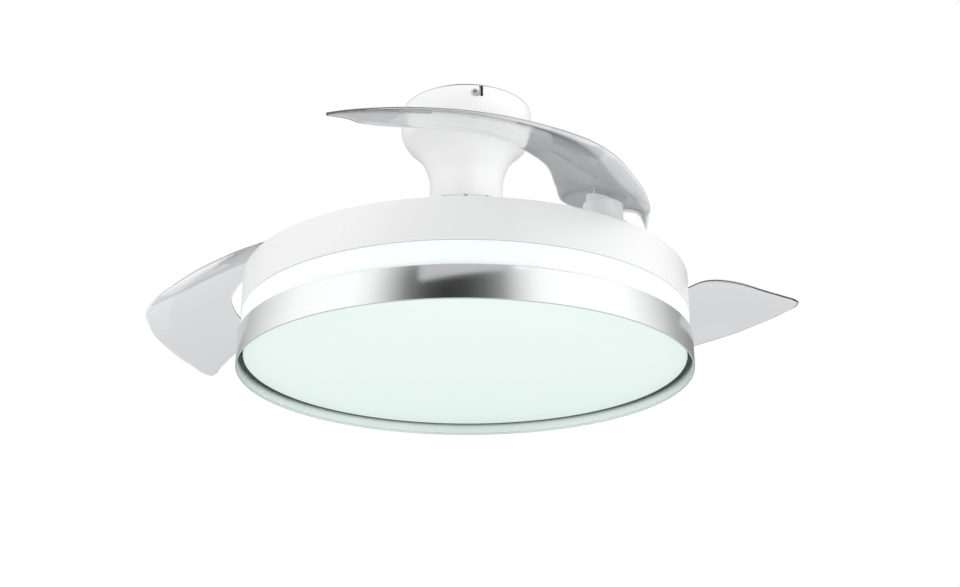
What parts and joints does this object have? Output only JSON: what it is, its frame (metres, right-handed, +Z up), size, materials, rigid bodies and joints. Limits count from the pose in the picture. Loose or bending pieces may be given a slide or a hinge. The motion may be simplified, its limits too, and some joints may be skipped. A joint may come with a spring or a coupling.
{
  "type": "retractable blade ceiling fan",
  "caption": "Ceiling fan with a bell canopy, a hidden motor and clear curved blades that fold in over the round lamp hung below them.",
  "frame": {"origin": "centre of the ceiling plate's upper side, which lies against the ceiling, on the axis of the tube and the motor", "axes": "+Z up into the ceiling along the tube's axis; +X to the right as the picture shows the fan, +Y away from the viewer"},
  "size_m": [0.7753, 0.7249, 0.327],
  "materials": {
    "white_plastic": "semi-gloss",
    "white_metal": "satin",
    "opal": "satin opal",
    "silver": "polished",
    "clear_plastic": "clear, slightly grey",
    "hub_plastic": "translucent grey",
    "steel": "zinc plated",
    "aluminium": "matte",
    "black_plastic": "matte",
    "copper": "enamelled wire",
    "magnet": "matte",
    "laminations": "satin",
    "board": "matte"
  },
  "bodies": {
    "frame": {"ceiling_plate": "steel", "hanger_yoke": "steel", "down_tube": "steel", "cross_bolt": "steel", "cross_bolt_nut": "steel", "canopy": "white_plastic", "canopy_screw_1": "steel", "canopy_screw_2": "steel", "remote_receiver": "white_plastic", "terminal_block": "white_plastic", "stator_core": "laminations", "stator_windings": "copper", "upper_bearing_inner_race": "steel", "lower_bearing_inner_race": "steel", "tube_collar": "steel", "lamp_nut": "steel", "lamp_top_pan": "white_metal", "white_ring": "white_plastic", "light_band": "opal", "metal_ring": "silver", "diffuser": "opal", "led_tray": "aluminium", "led_board": "board", "led_driver": "white_plastic", "tray_standoff_1": "aluminium", "tray_standoff_2": "aluminium", "tray_standoff_3": "aluminium", "diffuser_clip_1": "black_plastic", "diffuser_clip_2": "black_plastic", "diffuser_clip_3": "black_plastic"},
    "rotor": {"motor_upper_shell": "white_metal", "motor_lower_shell": "white_metal", "magnet_ring": "magnet", "upper_bearing_outer_race": "steel", "lower_bearing_outer_race": "steel", "blade_carrier": "white_plastic", "carrier_screw_1": "steel", "carrier_screw_2": "steel", "carrier_screw_3": "steel", "pivot_pin_1": "steel", "pivot_pin_2": "steel", "pivot_pin_3": "steel", "return_spring_1": "steel", "return_spring_2": "steel", "return_spring_3": "steel"},
    "first_blade": {"blade_1": "clear_plastic", "blade_hub_1": "hub_plastic", "blade_screw_1_1": "steel", "blade_screw_1_2": "steel"},
    "second_blade": {"blade_2": "clear_plastic", "blade_hub_2": "hub_plastic", "blade_screw_2_1": "steel", "blade_screw_2_2": "steel"},
    "third_blade": {"blade_3": "clear_plastic", "blade_hub_3": "hub_plastic", "blade_screw_3_1": "steel", "blade_screw_3_2": "steel"}
  },
  "joints": [
    {"name": "rotor_spin", "type": "hinge", "parent": "frame", "child": "rotor", "pos_m": [0, 0, -0.177], "axis": [0, 0, 1], "continuous": true},
    {"name": "blade_1_fold", "type": "hinge", "parent": "rotor", "child": "first_blade", "pos_m": [0.14019, -0.16472, -0.2145], "axis": [0.0283, -0.0332, 0.999], "range_deg": [-60, 8]},
    {"name": "blade_2_fold", "type": "hinge", "parent": "rotor", "child": "second_blade", "pos_m": [0.07256, 0.20377, -0.2145], "axis": [0.0146, 0.0411, 0.999], "range_deg": [-44.2, 23.8]},
    {"name": "blade_3_fold", "type": "hinge", "parent": "rotor", "child": "third_blade", "pos_m": [-0.21275, -0.03905, -0.2145], "axis": [-0.0429, -0.0079, 0.999], "range_deg": [-66.2, 1.8]}
  ]
}
